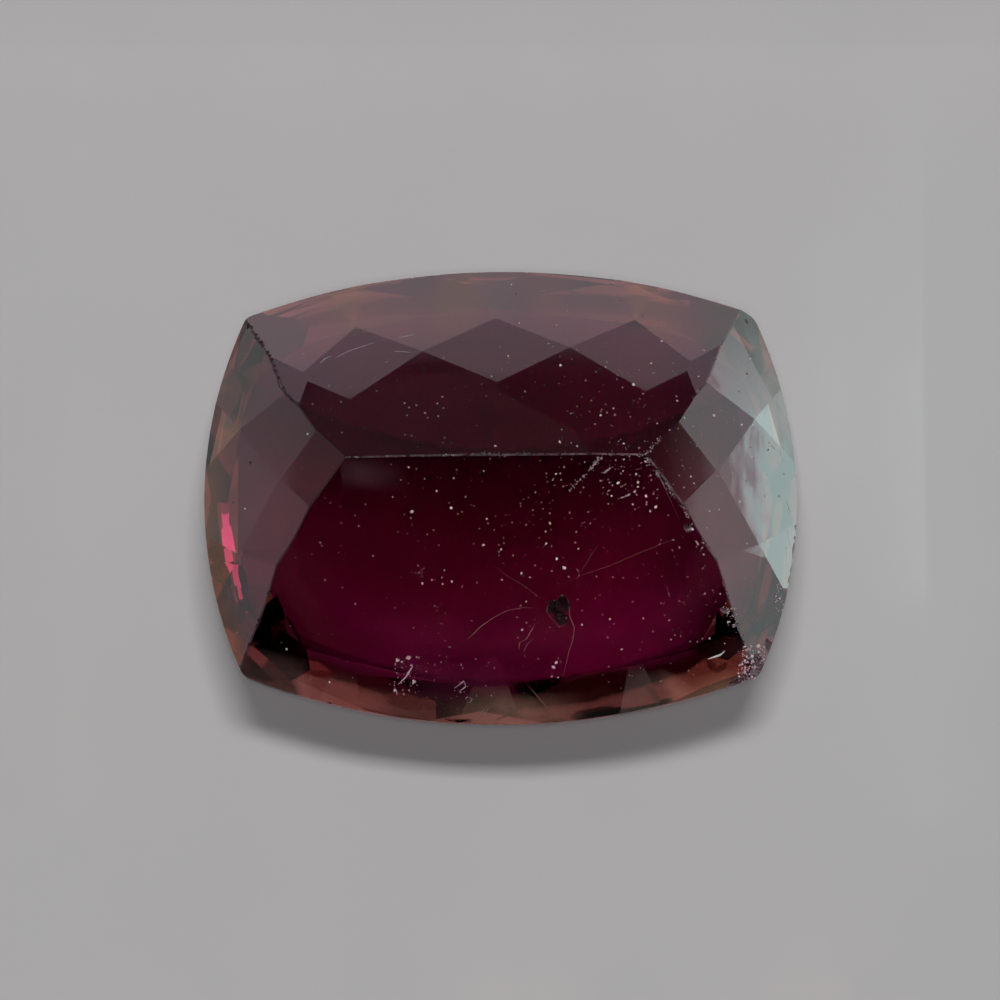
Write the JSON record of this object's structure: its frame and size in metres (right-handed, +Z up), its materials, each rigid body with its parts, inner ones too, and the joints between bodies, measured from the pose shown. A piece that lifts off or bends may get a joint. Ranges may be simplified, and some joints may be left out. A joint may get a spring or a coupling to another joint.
{
  "type": "faceted gemstone",
  "caption": "Cushion-cut loose gemstone with a flat table, a low crown, a thin girdle and a deep diamond-faceted pavilion that ends in a long keel.",
  "frame": {"origin": "under the middle of the keel, on the surface that the stone's table lies on", "axes": "+X along the stone and its keel, +Y across it, +Z up from the table to the keel"},
  "size_m": [0.011, 0.0085, 0.0049],
  "materials": {
    "tourmaline": "polished, clear deep purplish red, with worn and chipped edges"
  },
  "bodies": {
    "root": {"tourmaline": "tourmaline"}
  },
  "joints": []
}
